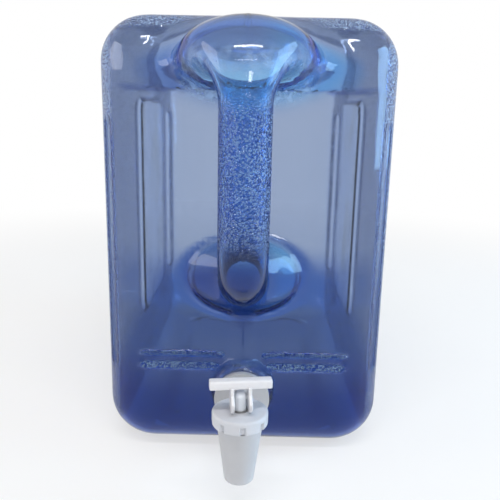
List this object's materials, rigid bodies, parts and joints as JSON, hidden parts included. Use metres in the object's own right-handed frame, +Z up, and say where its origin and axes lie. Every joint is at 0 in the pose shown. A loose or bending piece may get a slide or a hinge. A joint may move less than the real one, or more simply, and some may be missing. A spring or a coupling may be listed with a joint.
{
  "type": "detergent dispenser bottle",
  "caption": "Slim blow-moulded translucent jug with a hollow upright hand grip, a screw cap on top and a push-lever faucet low on the front for dosing liquid detergent.",
  "frame": {"origin": "under the middle of the whole part's box, on the plane it stands on", "axes": "+Z up, the faucet and hand grip face -Y, +X to the right of a person facing the faucet"},
  "size_m": [0.156, 0.3072, 0.252],
  "materials": {
    "blue_bottle": "translucent blown polythene, pebbled at the corners",
    "white_cap": "moulded, ribbed edge",
    "liner_foam": "soft foam disc",
    "white_faucet": "satin moulded",
    "washer_rubber": "soft, smooth",
    "white_bonnet": "satin moulded",
    "white_lever": "satin moulded",
    "white_pin": "plain moulded",
    "clear_stem": "translucent moulded",
    "cup_rubber": "soft, smooth",
    "spring_steel": "drawn wire"
  },
  "bodies": {
    "bottle": {"bottle_shell": "blue_bottle", "hand_grip": "blue_bottle", "filler_neck": "blue_bottle", "faucet_body": "white_faucet", "outer_washer": "washer_rubber", "inner_washer": "washer_rubber", "shank_nut": "white_faucet", "bonnet": "white_bonnet", "return_spring": "spring_steel"},
    "liner": {"cap_liner": "liner_foam"},
    "cap": {"screw_cap": "white_cap"},
    "stem": {"valve_stem": "clear_stem", "lever_pin": "white_pin", "seat_cup": "cup_rubber"},
    "lever": {"lever": "white_lever"}
  },
  "joints": [
    {"name": "cap_lift", "type": "slide", "parent": "bottle", "child": "liner", "axis": [0, 0, 1], "range_m": [0, 0.1]},
    {"name": "cap_turn", "type": "hinge", "parent": "liner", "child": "cap", "pos_m": [0, 0.0916, 0.25], "axis": [0, 0, 1], "range_deg": [0, 540]},
    {"name": "stem_lift", "type": "slide", "parent": "bottle", "child": "stem", "axis": [0, 0, 1], "range_m": [0, 0.0018], "stiffness_N_per_m": 60, "springref_m": -0.002, "deforming": ["return_spring"]},
    {"name": "lever_tilt", "type": "hinge", "parent": "stem", "child": "lever", "pos_m": [0, -0.1404, 0.0601], "axis": [0.9903, 0.1392, 0], "range_deg": [0, 40]}
  ],
  "couplings": [
    {"joint": "lever_tilt", "follows": "stem_lift", "rad_per_m": 384.62}
  ]
}
